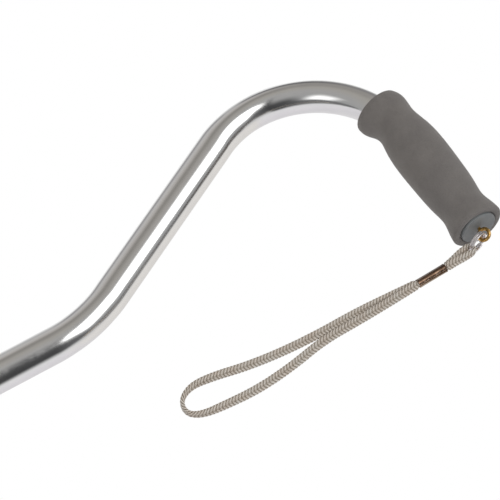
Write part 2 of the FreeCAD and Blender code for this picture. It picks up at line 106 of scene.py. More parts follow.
# Split ring and strap.
RING_INNER_RADIUS = 5.5 * MM
RING_WALL = 1.2 * MM
RING_WIDTH = 2.8 * MM
RING_DROP = 6.3 * MM
RING_LEAN_DEG = 22.0
RING_GAP = 0.02 * MM
RING_CORNER = 0.14 * MM
RING_STEPS = 260
RING_OPENING_DEG = 7.0
RING_OPENING_AT_DEG = 118.0
RING_CROSSOVER = (0.47, 0.06)
STRAP_TURN_DEG = 30.6
STRAP_MIDDLE_X = 8.5 * MM
BRAID_WIDTH = 5.4 * MM
BRAID_THICKNESS = 2.7 * MM
BRAID_PITCH = 2.1 * MM
BRAID_STEP = 0.22 * MM
BRAID_SIDES = 44
BRAID_SLANT = 2.2
BRAID_RELIEF = 0.18 * MM
BRAID_EDGE_RELIEF = 0.20 * MM
ROUTE_RESOLUTION = 48
# Squeeze of the braid in the ferrule and at its fold: reach in millimetres, shares of width and depth.
FERRULE_LEAD = 2.5
FERRULE_SQUEEZE = (0.28, 0.26)
FOLD_DROP = 9.5
FOLD_REACH = 3.5
FOLD_SQUEEZE = (0.12, 0.36)
FERRULE_TOP = (7.3, 31.3)
FERRULE_BOTTOM = (8.3, 50.5)
FERRULE_SIZE = (4.9 * MM, 5.4 * MM)
FERRULE_CORNER = 1.8 * MM
FERRULE_WALL = 0.4 * MM
FERRULE_SEAM = 0.04 * MM
FERRULE_SEAM_DEG = 17.0
FERRULE_FLARE = 0.05
# The crimp's dents: place and reach along the sleeve, and depth, all as shares.
FERRULE_DENTS = ((0.3, 0.09, 0.035), (0.7, 0.1, 0.03))

# The strap's route: across its plane, drop below the eye, towards its front (millimetres), and the
# turn of its flat side in degrees.  It starts in the ferrule, goes up round the ring, comes down
# through the ferrule, round the hanging loop, and back into the ferrule.
STRAP_ROUTE = (
    (-0.7, 38.0, -1.4, -180), (-1.0, 31.3, -1.6, -180), (-2.1, 25.5, -2.3, -165),
    (-4.3, 18.5, -3.0, -150), (-5.0, 14.4, -3.3, -142),
    (-5.5, 11.8, -3.3, -128), (-5.1, 10.2, -2.9, -108), (-3.4, 9.4, -1.9, -90),
    (-1.7, 10.0, -1.0, -70), (-1.1, 11.8, -0.6, -52), (-1.2, 14.2, -0.4, -40),
    (-1.2, 18.0, 0.1, -32), (-1.4, 25.5, 0.6, -15), (-0.9, 31.3, 0.6, 0),
    (-0.5, 41.0, 0.8, 0),
    (-0.2, 50.8, 1.1, 0), (0.8, 66.0, 1.5, 0), (2.0, 90.0, 1.5, 0), (2.6, 117.0, 1.0, 0),
    (7.3, 140.0, 0.3, 0), (9.7, 164.0, 0.0, -5), (8.7, 186.0, 0.1, -20), (7.2, 200.5, 0.0, -50),
    (2.4, 208.2, 0.0, -75), (-5.8, 207.6, 0.0, -105), (-10.6, 198.5, 0.0, -130),
    (-9.3, 184.0, -0.1, -160), (-5.3, 164.0, 0.0, -175), (-2.8, 141.0, -0.3, -180),
    (-1.9, 116.0, -1.0, -180), (-2.4, 92.0, -1.5, -180), (-1.4, 68.0, -1.5, -180),
    (-0.5, 50.8, -1.2, -180), (-0.6, 45.0, -1.3, -180),
)


def heading(degrees):
    """Unit vector in the cane's plane, measured from +X towards +Z."""
    angle = math.radians(degrees)
    return Vector((math.cos(angle), 0.0, math.sin(angle)))


# The tube's centre line, as on the CAD model.
SHAFT_BOTTOM_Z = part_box("upper_tube")[0].z
LOWER_CENTRE = Vector((-LOWER_BEND_RADIUS, 0.0, LOWER_BEND_Z))
DIAGONAL_START = LOWER_CENTRE + heading(LOWER_BEND_DEG) * LOWER_BEND_RADIUS
DIAGONAL_END = DIAGONAL_START + heading(90 + LOWER_BEND_DEG) * DIAGONAL_LENGTH
UPPER_CENTRE = DIAGONAL_END + heading(LOWER_BEND_DEG) * UPPER_BEND_RADIUS
GRIP_START = UPPER_CENTRE + heading(GRIP_DEG + 90) * UPPER_BEND_RADIUS
CAP_FACE = GRIP_START + heading(GRIP_DEG) * GRIP_RUN
EYE_CENTRE = CAP_FACE + heading(GRIP_DEG) * EYE_REACH
RING_DOWN = heading(RING_LEAN_DEG - 90)
RING_CENTRE = EYE_CENTRE + RING_DOWN * RING_DROP
STRAP_TURN = math.radians(STRAP_TURN_DEG)
STRAP_ACROSS = Vector((math.cos(STRAP_TURN), math.sin(STRAP_TURN), 0))
STRAP_FRONT = Vector((STRAP_ACROSS.y, -STRAP_ACROSS.x, 0))

# ---------------------------------------------------------------- camera
CAMERA_DEG = 30.64
CAMERA_UP_DEG = -10.0
CAMERA_ROLL_DEG = 62.12
CAMERA_DISTANCE = 1.6
CAMERA_LENS = 192.27
CAMERA_TARGET = Vector((0.00528, 0.0, LOWER_BEND_Z + 0.13108))


def make_camera():
    """The picture's viewpoint: low, round to one side, and rolled so that the shaft lies across it."""
    turn, rise = math.radians(CAMERA_DEG), math.radians(CAMERA_UP_DEG)
    roll = math.radians(CAMERA_ROLL_DEG)
    back = Vector((math.sin(turn) * math.cos(rise), -math.cos(turn) * math.cos(rise), math.sin(rise)))
    level = Vector((math.cos(turn), math.sin(turn), 0.0))
    upright = back.cross(level)
    right = level * math.cos(roll) + upright * math.sin(roll)
    up = upright * math.cos(roll) - level * math.sin(roll)
    data = bpy.data.cameras.new("camera")
    data.lens = CAMERA_LENS
    data.sensor_width = 36.0
    data.clip_end = 50.0
    camera = bpy.data.objects.new("camera", data)
    bpy.context.scene.collection.objects.link(camera)
    camera.matrix_world = Matrix((right, up, back)).transposed().to_4x4()
    camera.location = CAMERA_TARGET + back * CAMERA_DISTANCE
    bpy.context.scene.camera = camera


make_camera()


# ---------------------------------------------------------------- mesh helpers
def add_object(name, vertices, faces, sharp_deg=None):
    """A smooth-shaded mesh object, with edges sharper than sharp_deg left crisp."""
    mesh = bpy.data.meshes.new(name)
    mesh.from_pydata([tuple(v) for v in vertices], [], faces)
    mesh.update()
    mesh.polygons.foreach_set("use_smooth", [True] * len(mesh.polygons))
    if sharp_deg is not None:
        mesh.set_sharp_from_angle(angle=math.radians(sharp_deg))
    piece = bpy.data.objects.new(name, mesh)
    bpy.context.scene.collection.objects.link(piece)
    return piece


def set_attribute(piece, name, values):
    """Stores one number a vertex, for the piece's material to read."""
    piece.data.attributes.new(name, "FLOAT", "POINT").data.foreach_set("value", np.asarray(values, float))


def ring_faces(rings, sides, closed=False, start=0):
    """Quads between successive rings of points, each ring a closed loop."""
    faces = []
    for ring in range(rings if closed else rings - 1):
        a, b = start + ring * sides, start + (ring + 1) % rings * sides
        for side in range(sides):
            after = (side + 1) % sides
            faces.append((a + side, a + after, b + after, b + side))
    return faces


def fill_ends(faces, rings, sides):
    """Closes both ends of a tube of rings with one face each."""
    faces.append(tuple(reversed(range(sides))))
    faces.append(tuple(range((rings - 1) * sides, rings * sides)))


def run_along(line):
    """Distance along a line of points, at each of them."""
    return np.concatenate([[0], np.cumsum(np.linalg.norm(np.diff(line, axis=0), axis=1))])


def resampled(line, places):
    """Points on a line at the given distances along it."""
    run = run_along(line)
    return np.stack([np.interp(places, run, line[:, axis]) for axis in range(3)], axis=1)


def unit(vectors):
    """Rows of vectors, each made one long."""
    return vectors / np.linalg.norm(vectors, axis=1)[:, None]


def nurbs_points(points, resolution):
    """Points along the smooth curve that has the given points as its control points."""
    curve = bpy.data.curves.new("route", "CURVE")
    curve.dimensions = "3D"
    spline = curve.splines.new("NURBS")
    spline.points.add(len(points) - 1)
    for knot, place in zip(spline.points, points):
        knot.co = (*place, 1.0)
    spline.order_u = 3
    spline.use_endpoint_u = True
    spline.resolution_u = resolution
    holder = bpy.data.objects.new("route", curve)
    mesh = bpy.data.meshes.new_from_object(holder)
    found = np.array([v.co for v in mesh.vertices], float)
    bpy.data.meshes.remove(mesh)
    bpy.data.objects.remove(holder)
    bpy.data.curves.remove(curve)
    return found


# ---------------------------------------------------------------- the braided strap
def strap_point(across, drop, front):
    """A point of the strap's route: across its plane, below the eye and towards its front."""
    place = EYE_CENTRE + Vector((STRAP_MIDDLE_X, 0, -drop * MM))
    return place + STRAP_ACROSS * (across * MM) + STRAP_FRONT * (front * MM)


def bump_between(values, low, high, soft):
    """1 between low and high, falling smoothly to 0 over a distance of soft outside them."""
    outside = np.maximum(np.maximum(low - values, values - high), 0) / soft
    fade = np.clip(1 - outside, 0, 1)
    return fade * fade * (3 - 2 * fade)


def strap_centre_line():
    """The strap's whole route, then evenly spaced distances, points and turns (radians) along it."""
    line = nurbs_points([strap_point(*row[:3]) for row in STRAP_ROUTE], ROUTE_RESOLUTION)
    turns = nurbs_points([(row[3] / 100, 0, 0) for row in STRAP_ROUTE], ROUTE_RESOLUTION)[:, 0] * 100
    run = run_along(line)
    along = np.linspace(0, run[-1], round(run[-1] / BRAID_STEP))
    return along, resampled(line, along), np.radians(np.interp(along, run, turns))


def strap_axes(centre, turn):
    """Directions of the strap's width and thickness at each of its points."""
    tangent = unit(np.gradient(centre, axis=0))
    flat = unit(np.cross(np.array(STRAP_FRONT), tangent))
    forward = np.cross(tangent, flat)
    wide = flat * np.cos(turn)[:, None] + forward * np.sin(turn)[:, None]
    return wide, np.cross(tangent, wide)


def strap_squeeze(centre):
    """Width and thickness as shares of the loose braid's: less in the ferrule and at the ring's fold."""
    drop = (EYE_CENTRE.z - centre[:, 2]) / MM
    held = bump_between(drop, FERRULE_TOP[1], FERRULE_BOTTOM[1], FERRULE_LEAD)
    folded = np.exp(-(((drop - FOLD_DROP) / FOLD_REACH) ** 2))
    return [1 - less * held - fold * folded for less, fold in zip(FERRULE_SQUEEZE, FOLD_SQUEEZE)]


def make_strap():
    """Flat braid of slanting stitches, as a mesh round the route's line."""
    along, centre, turn = strap_centre_line()
    wide, thin = strap_axes(centre, turn)
    width, thickness = strap_squeeze(centre)

    # Rounded-box section.
    phi = np.arange(BRAID_SIDES) / BRAID_SIDES * math.tau
    corner = 2 / 2.5
    x = np.sign(np.cos(phi)) * np.abs(np.cos(phi)) ** corner * BRAID_WIDTH / 2
    y = np.sign(np.sin(phi)) * np.abs(np.sin(phi)) ** corner * BRAID_THICKNESS / 2

    # The slant of the stitches: both rows on each face run away from its middle, which lies lower.
    slant = np.abs(((phi / math.tau + 0.25) % 1.0) * 2 - 1) * BRAID_SLANT
    phase = along[:, None] / BRAID_PITCH + slant[None, :]
    ridge = (0.5 + 0.5 * np.cos(math.tau * phase)) ** 0.6
    middle = np.exp(-((x / (0.55 * MM)) ** 2))[None, :] * (np.abs(np.sin(phi)) > 0.5)
    height = ridge * (1 - 0.55 * middle)
    border = np.abs(np.cos(phi)) ** 6
    relief = (height - 0.6) * (BRAID_RELIEF + BRAID_EDGE_RELIEF * border)[None, :] * thickness[:, None]
    out_x, out_y = np.cos(phi) * 0.6, np.sin(phi)
    size = np.hypot(out_x, out_y)
    px = x[None, :] * width[:, None] + relief * (out_x / size)[None, :]
    py = y[None, :] * thickness[:, None] + relief * (out_y / size)[None, :]
    surface = centre[:, None, :] + wide[:, None, :] * px[:, :, None] + thin[:, None, :] * py[:, :, None]

    faces = ring_faces(len(along), BRAID_SIDES)
    fill_ends(faces, len(along), BRAID_SIDES)
    braided = add_object("wrist_strap", surface.reshape(-1, 3), faces)
    # The ridge attribute is stitch height, lowered at the braid's edges: the material paints shade by it in
    # the grooves and along the edges.
    set_attribute(braided, "ridge", (height - 0.25 * (1 - height) * border[None, :]).ravel())
    set_attribute(braided, "stitch", phase.ravel())
    set_attribute(braided, "around", np.tile(phi, len(along)))
    return braided, centre, float(along[-1])


strap, strap_line, strap_length = make_strap()
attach(strap, "strap")


def below_eye(x, drop):
    """A point of the cane's plane, from the eye's centre, in millimetres."""
    return EYE_CENTRE + Vector((x * MM, 0, -drop * MM))


def ferrule_section():
    """Closed outline of the rolled sheet: a rounded box whose two edges curl in at the front."""
    half_w, half_d, corner = FERRULE_SIZE[0] / 2, FERRULE_SIZE[1] / 2, FERRULE_CORNER
    curl = [(FERRULE_SEAM + aside * MM, half_d - deep * MM)
            for aside, deep in ((0, 0.95), (0, 0.5), (0.08, 0.18), (0.28, 0.02), (0.5, 0))]
    outline = list(curl)
    for centre_x, centre_y, first in ((1, 1, 90), (1, -1, 0), (-1, -1, -90), (-1, 1, -180)):
        for step in range(9):
            angle = math.radians(first - step * 90 / 8)
            outline.append(((half_w - corner) * centre_x + corner * math.cos(angle),
                            (half_d - corner) * centre_y + corner * math.sin(angle)))
    outline = np.array(outline + [(-x, y) for x, y in reversed(curl)])
    step_along = np.gradient(outline, axis=0)
    normal = unit(np.stack([-step_along[:, 1], step_along[:, 0]], axis=1))
    if normal[len(normal) // 2, 1] > 0:
        normal = -normal
    return np.concatenate([outline, (outline - normal * FERRULE_WALL)[::-1]])


def make_ferrule():
    """Crimped sleeve round both strands, with its seam at the front."""
    top, bottom = below_eye(*FERRULE_TOP), below_eye(*FERRULE_BOTTOM)
    axis = (bottom - top).normalized()
    across = (STRAP_ACROSS - axis * STRAP_ACROSS.dot(axis)).normalized()
    front = axis.cross(across)
    if front.dot(STRAP_FRONT) < 0:
        front = -front
    turn = math.radians(FERRULE_SEAM_DEG)
    across, front = (across * math.cos(turn) - front * math.sin(turn),
                     front * math.cos(turn) + across * math.sin(turn))
    loop = ferrule_section()
    stations, sides = 40, len(loop)
    rows = []
    for station in range(stations):
        share = station / (stations - 1)
        edge = min(share, 1 - share) * (bottom - top).length
        flare = 1 + FERRULE_FLARE * math.exp(-edge / (0.8 * MM))
        dent = 1 - sum(deep * math.exp(-((share - at) / reach) ** 2) for at, reach, deep in FERRULE_DENTS)
        centre = top.lerp(bottom, share)
        for x, y in loop:
            rows.append(centre + across * (x * flare) + front * (y * flare * dent))
    faces = ring_faces(stations, sides)
    for first, flip in ((0, False), ((stations - 1) * sides, True)):
        for k in range(sides // 2 - 1):
            quad = (first + k, first + sides - 1 - k, first + sides - 2 - k, first + k + 1)
            faces.append(tuple(reversed(quad)) if flip else quad)
    sleeve = add_object("crimp_ferrule", rows, faces, sharp_deg=40)
    # Place across the sleeve, from -1 to 1: the material paints a dark reflection on one side and a
    # highlight on the other by it.
    side = np.array([(Vector(row) - top).dot(STRAP_ACROSS) for row in rows]) / (FERRULE_SIZE[0] / 2)
    set_attribute(sleeve, "side", side)
    return sleeve


ferrule = make_ferrule()
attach(ferrule, "strap")
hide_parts("cord_ferrule")
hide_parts("wrist_cord", "ring_bight")


# ---------------------------------------------------------------- split ring
def make_split_ring():
    """Two turns of flat wire, side by side, with one crossover and two open ends."""
    axis, down = heading(RING_LEAN_DEG), RING_DOWN
    side = axis.cross(down)
    pitch = RING_WIDTH / 2
    half_axial, half_radial = pitch / 2 - RING_GAP, RING_WALL / 2
    section = []
    for cx, cy, first in ((1, 1, 0), (-1, 1, 90), (-1, -1, 180), (1, -1, 270)):
        for step in range(4):
            angle = math.radians(first + step * 30)
            section.append(((half_axial - RING_CORNER) * cx + RING_CORNER * math.cos(angle),
                            (half_radial - RING_CORNER) * cy + RING_CORNER * math.sin(angle)))
    rows = []
    for step in range(RING_STEPS):
        share = step / (RING_STEPS - 1)
        degrees = RING_OPENING_AT_DEG + RING_OPENING_DEG / 2 + share * (720 - RING_OPENING_DEG)
        crossed = min(max((share - RING_CROSSOVER[0]) / RING_CROSSOVER[1], 0.0), 1.0)
        shift = (crossed * crossed * (3 - 2 * crossed) - 0.5) * pitch
        angle = math.radians(degrees)
        outward = down * math.cos(angle) + side * math.sin(angle)
        centre = RING_CENTRE + outward * (RING_INNER_RADIUS + half_radial) + axis * shift
        rows += [centre + axis * x + outward * y for x, y in section]
    faces = ring_faces(RING_STEPS, len(section))
    fill_ends(faces, RING_STEPS, len(section))
    return add_object("key_ring", rows, faces, sharp_deg=50)


ring = make_split_ring()
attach(ring, "key_ring")
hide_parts("split_ring")


# ---------------------------------------------------------------- button spring
def make_spring():
    """Bent steel strip inside the leg, with a free arm at the button and a back arm."""
    line = nurbs_points([(0, y * MM, LOWEST_HOLE_Z + rise * MM) for y, rise in SPRING_LINE], 40)
    centre = resampled(line, np.linspace(0, run_along(line)[-1], SPRING_STEPS))
    tangent = unit(np.gradient(centre, axis=0))
    half_width, half_thick = SPRING_WIDTH / 2, SPRING_THICKNESS / 2
    corner = [(half_width, half_thick - SPRING_EDGE), (half_width - SPRING_EDGE, half_thick)]
    section = []
    for flip_x, flip_y in ((1, 1), (-1, 1), (-1, -1), (1, -1)):
        pair = corner if flip_x == flip_y else reversed(corner)
        section += [(x * flip_x, y * flip_y) for x, y in pair]
    rows = []
    for point, along in zip(centre, tangent):
        side = np.array((0.0, along[2], -along[1]))
        rows += [point + np.array((x, 0.0, 0.0)) + side * y for x, y in section]
    faces = ring_faces(SPRING_STEPS, len(section))
    fill_ends(faces, SPRING_STEPS, len(section))
    return add_object("spring_strip", rows, faces, sharp_deg=30)


spring = make_spring()
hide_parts("button_spring")
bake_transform(spring)


# ---------------------------------------------------------------- bent tube
def tube_stations():
    """Centre-line point, heading and squash of each ring above the lock holes."""
    stations = []

    def straight(start, degrees, length, steps, first=0):
        for step in range(first, steps + 1):
            stations.append((start + heading(degrees) * (length * step / steps), degrees, 0.0))

    def bend(centre, radius, first_deg, last_deg, flattening, steps):
        turn = 90 if last_deg > first_deg else -90
        for step in range(1, steps + 1):
            share = step / steps
            angle = first_deg + (last_deg - first_deg) * share
            squash = flattening * min(1.0, math.sin(math.pi * share) * FLATTENING_RAMP)
            stations.append((centre + heading(angle) * radius, angle + turn, squash))

    plain_start = LOWEST_HOLE_Z + HEIGHT_STEP * (HOLE_COUNT - 1) + HOLE_LAND
    straight(Vector((0, 0, plain_start)), 90, LOWER_BEND_Z - plain_start, 24)
    bend(LOWER_CENTRE, LOWER_BEND_RADIUS, 0, LOWER_BEND_DEG, LOWER_FLATTENING, 30)
    straight(DIAGONAL_START, 90 + LOWER_BEND_DEG, DIAGONAL_LENGTH, 24, first=1)
    bend(UPPER_CENTRE, UPPER_BEND_RADIUS, 180 + LOWER_BEND_DEG, GRIP_DEG + 90, UPPER_FLATTENING, 118)
    straight(GRIP_START, GRIP_DEG, GRIP_RUN - TUBE_END_SETBACK, 12, first=1)
    return stations


def shaft_heights(holes):
    """Heights of the shaft's rings, close together across each hole, and each hole's first ring."""
    cell = TUBE_RADIUS * math.tau / TUBE_SIDES
    reach = HOLE_HALF_CELLS * cell
    gap = HEIGHT_STEP - 2 * reach
    heights = [SHAFT_BOTTOM_Z, (SHAFT_BOTTOM_Z + holes[0] - reach) / 2]
    first_rings = []
    for hole in holes:
        first_rings.append(len(heights))
        heights += [hole - reach + cell * step for step in range(2 * HOLE_HALF_CELLS + 1)]
        if hole != holes[-1]:
            heights += [hole + reach + gap * step / 4 for step in (1, 2, 3)]
    return heights, first_rings


def tube_section(point, degrees, squash, radius):
    """One ring of the tube: its first point faces -Y, and the next ones turn to the bend's inside."""
    inward = heading(degrees - 90)
    offset = TUBE_RADIUS - radius
    in_plane = TUBE_RADIUS * (1 - squash) - offset
    across = TUBE_RADIUS * (1 + BEND_WIDENING * squash) - offset
    ring = []
    for side in range(TUBE_SIDES):
        angle = math.tau * side / TUBE_SIDES
        ring.append(point + Vector((0, -1, 0)) * (across * math.cos(angle))
                    + inward * (in_plane * math.sin(angle)))
    return ring


def hole_rim(start, first_ring):
    """Vertex numbers round the square patch that one hole replaces, in order."""
    n = HOLE_HALF_CELLS
    corners = [(0, -n), (0, n), (2 * n, n), (2 * n, -n)]
    rim = []
    for (row, side), (next_row, next_side) in zip(corners, corners[1:] + corners[:1]):
        for step in range(2 * n):
            ring = first_ring + row + (next_row - row) * step // (2 * n)
            place = side + (next_side - side) * step // (2 * n)
            rim.append(start + ring * TUBE_SIDES + place % TUBE_SIDES)
    return rim


def join_loops(faces, a, b, flip):
    """Quads between two closed loops of vertex numbers."""
    for k in range(len(a)):
        after = (k + 1) % len(a)
        quad = (a[k], a[after], b[after], b[k])
        faces.append(quad if flip else tuple(reversed(quad)))


def round_hole(vertices, along, faces, hole, rim, radius, inside):
    """Fills a square patch from its rim in to a round hole, and gives the hole's vertex numbers."""
    places = [vertices[v] for v in rim]
    previous = rim
    for share, grow in ((0.45, 0.0), (0.8, 0.0), (1.0, HOLE_BREAK)):
        goal = HOLE_RADIUS + (0.0 if inside else grow)
        current = []
        for place in places:
            x, z = place.x, place.z - hole
            angle = math.atan2(z, x)
            x += (goal * math.cos(angle) - x) * share
            z += (goal * math.sin(angle) - z) * share
            current.append(len(vertices))
            vertices.append(Vector((x, -math.sqrt(radius ** 2 - x ** 2), hole + z)))
            along.append(hole + z - SHAFT_BOTTOM_Z)
        join_loops(faces, previous, current, inside)
        previous = current
    return previous


def hole_wall(vertices, along, faces, hole, outer, inner):
    """One hole's wall: the broken edge of the outer skin, then straight in to the inner skin."""
    lip = []
    for v in outer:
        place = vertices[v]
        angle = math.atan2(place.z - hole, place.x)
        lip.append(len(vertices))
        vertices.append(Vector((HOLE_RADIUS * math.cos(angle), place.y + HOLE_BREAK,
                                hole + HOLE_RADIUS * math.sin(angle))))
        along.append(place.z - SHAFT_BOTTOM_Z)
    join_loops(faces, outer, lip, False)
    join_loops(faces, lip, inner, False)


def tube_skin(vertices, along, faces, rings, holes, first_rings, radius):
    """Adds the outer or inner skin, and gives its holes' vertex numbers and its two end rings' first."""
    start = len(vertices)
    inside = radius < TUBE_RADIUS
    distance = 0.0
    for index, (point, degrees, squash) in enumerate(rings):
        if index:
            distance += (point - rings[index - 1][0]).length
        vertices += tube_section(point, degrees, squash, radius)
        along += [distance] * TUBE_SIDES
    cut_away = {(first + k, side % TUBE_SIDES) for first in first_rings
                for k in range(2 * HOLE_HALF_CELLS) for side in range(-HOLE_HALF_CELLS, HOLE_HALF_CELLS)}
    for index, quad in enumerate(ring_faces(len(rings), TUBE_SIDES, start=start)):
        if divmod(index, TUBE_SIDES) not in cut_away:
            faces.append(quad if inside else tuple(reversed(quad)))
    circles = [round_hole(vertices, along, faces, hole, hole_rim(start, first), radius, inside)
               for hole, first in zip(holes, first_rings)]
    return circles, (start, start + (len(rings) - 1) * TUBE_SIDES)


def make_upper_tube():
    """The bent tube with its lock holes: outer skin, inner skin, hole walls and end faces."""
    holes = [LOWEST_HOLE_Z + HEIGHT_STEP * count for count in range(HOLE_COUNT)]
    heights, first_rings = shaft_heights(holes)
    rings = [(Vector((0, 0, z)), 90.0, 0.0) for z in heights] + tube_stations()
    vertices, along, faces = [], [], []
    (outer_holes, outer_ends), (inner_holes, inner_ends) = [
        tube_skin(vertices, along, faces, rings, holes, first_rings, radius)
        for radius in (TUBE_RADIUS, TUBE_RADIUS - TUBE_WALL)]
    for hole, outer, inner in zip(holes, outer_holes, inner_holes):
        hole_wall(vertices, along, faces, hole, outer, inner)
    for flip, outer, inner in zip((True, False), outer_ends, inner_ends):
        join_loops(faces, range(outer, outer + TUBE_SIDES), range(inner, inner + TUBE_SIDES), flip)
    made = add_object("bent_tube", vertices, faces, sharp_deg=38)
    set_attribute(made, "along", np.array(along) / MM)
    return made


tube = make_upper_tube()
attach(tube, "upper_frame")
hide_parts("upper_tube")


# ---------------------------------------------------------------- foam grip
def grip_point(distance):
    """Centre-line point and heading at a distance in millimetres from the foam's start face."""
    along = distance * MM - (FOAM_LENGTH + FOAM_SETBACK) * MM + GRIP_RUN
    if along >= 0:
        return GRIP_START + heading(GRIP_DEG) * along, GRIP_DEG
    angle = GRIP_DEG + 90 - math.degrees(along / UPPER_BEND_RADIUS)
    return UPPER_CENTRE + heading(angle) * UPPER_BEND_RADIUS, angle - 90


def foam_station(distance, radius):
    """Centre and heading of one section: it leans more the nearer the foam's start face is."""
    lag = FOAM_LAG * max(0.0, 1 - distance / FOAM_BENT_LENGTH)
    point, degrees = grip_point(distance + lag)
    return point, degrees - math.degrees(math.asin(lag / max(radius, FOAM_PROFILE[0][1])))


def foam_radius(place):
    """Radius at a distance from the start face: a natural cubic spline through the profile's points."""
    x, y = np.array(FOAM_PROFILE).T
    n = len(x)
    h = np.diff(x)
    system, goal = np.eye(n), np.zeros(n)
    for k in range(1, n - 1):
        system[k, k - 1:k + 2] = h[k - 1], 2 * (h[k - 1] + h[k]), h[k]
        goal[k] = 6 * ((y[k + 1] - y[k]) / h[k] - (y[k] - y[k - 1]) / h[k - 1])
    curve = np.linalg.solve(system, goal)
    k = int(np.clip(np.searchsorted(x, place) - 1, 0, n - 2))
    a, b = (x[k + 1] - place) / h[k], (place - x[k]) / h[k]
    pull = (a ** 3 - a) * curve[k] + (b ** 3 - b) * curve[k + 1]
    return float(a * y[k] + b * y[k + 1] + pull * h[k] ** 2 / 6)


def foam_outline():
    """Distance, radius and whether it fits the tube, for each ring of the sleeve and its bore."""
    bore = TUBE_RADIUS / MM + BORE_CLEARANCE
    far = FOAM_LENGTH - FOAM_CAP_EDGE
    start_radius, end_radius = foam_radius(FOAM_EDGE), foam_radius(far)
    rounding = [math.radians(90 * step / FOAM_ROUND_STEPS) for step in range(1, FOAM_ROUND_STEPS)]
    rows = [(3.0, bore, True), (BORE_BREAK[0], bore, True), (0.0, bore + BORE_BREAK[1], True)]
    rows += [(0.0, radius, False) for radius in np.linspace(12.0, start_radius - FOAM_EDGE, 3)]
    rows += [(FOAM_EDGE * (1 - math.cos(angle)), start_radius - FOAM_EDGE * (1 - math.sin(angle)), False)
             for angle in rounding]
    rows += [(place, foam_radius(place), False) for place in np.linspace(FOAM_EDGE, far, 130)]
    rows += [(FOAM_LENGTH - FOAM_CAP_EDGE * (1 - math.sin(angle)),
              end_radius - FOAM_CAP_EDGE * (1 - math.cos(angle)), False) for angle in rounding]
    pocket_floor = FOAM_LENGTH - CAP_POCKET_DEPTH
    return rows + [
        (FOAM_LENGTH, end_radius - FOAM_CAP_EDGE, False),
        (FOAM_LENGTH, CAP_POCKET_RADIUS + CAP_POCKET_BREAK[1], False),
        (FOAM_LENGTH - CAP_POCKET_BREAK[0], CAP_POCKET_RADIUS, False),
        (pocket_floor, CAP_POCKET_RADIUS, False), (pocket_floor, bore, False),
        (FOAM_LENGTH - 4.0, bore, False),
    ]


def make_foam():
    """Contoured sleeve, closed on itself through its bore, which is squashed at its start as the tube is."""
    sides = 144
    outline = foam_outline()
    vertices = []
    for distance, radius, fitted in outline:
        point, degrees = foam_station(distance, radius)
        squash = TUBE_RADIUS / MM * UPPER_FLATTENING if fitted else 0.0
        wide, flat = radius + BEND_WIDENING * squash, radius - squash
        for side in range(sides):
            angle = math.tau * side / sides
            vertices.append(point + Vector((0, -1, 0)) * (wide * MM * math.cos(angle))
                            + heading(degrees - 90) * (flat * MM * math.sin(angle)))
    faces = [tuple(reversed(quad)) for quad in ring_faces(len(outline), sides, closed=True)]
    return add_object("foam_sleeve", vertices, faces, sharp_deg=60)


foam = make_foam()
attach(foam, "upper_frame")
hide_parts("foam_grip")


# ---------------------------------------------------------------- materials
def srgb(*values):
    """Linear colour from 0-255 screen values."""
    linear = [v / 255 / 12.92 if v <= 10 else ((v / 255 + 0.055) / 1.055) ** 2.4 for v in values]
    return (*linear, 1.0)


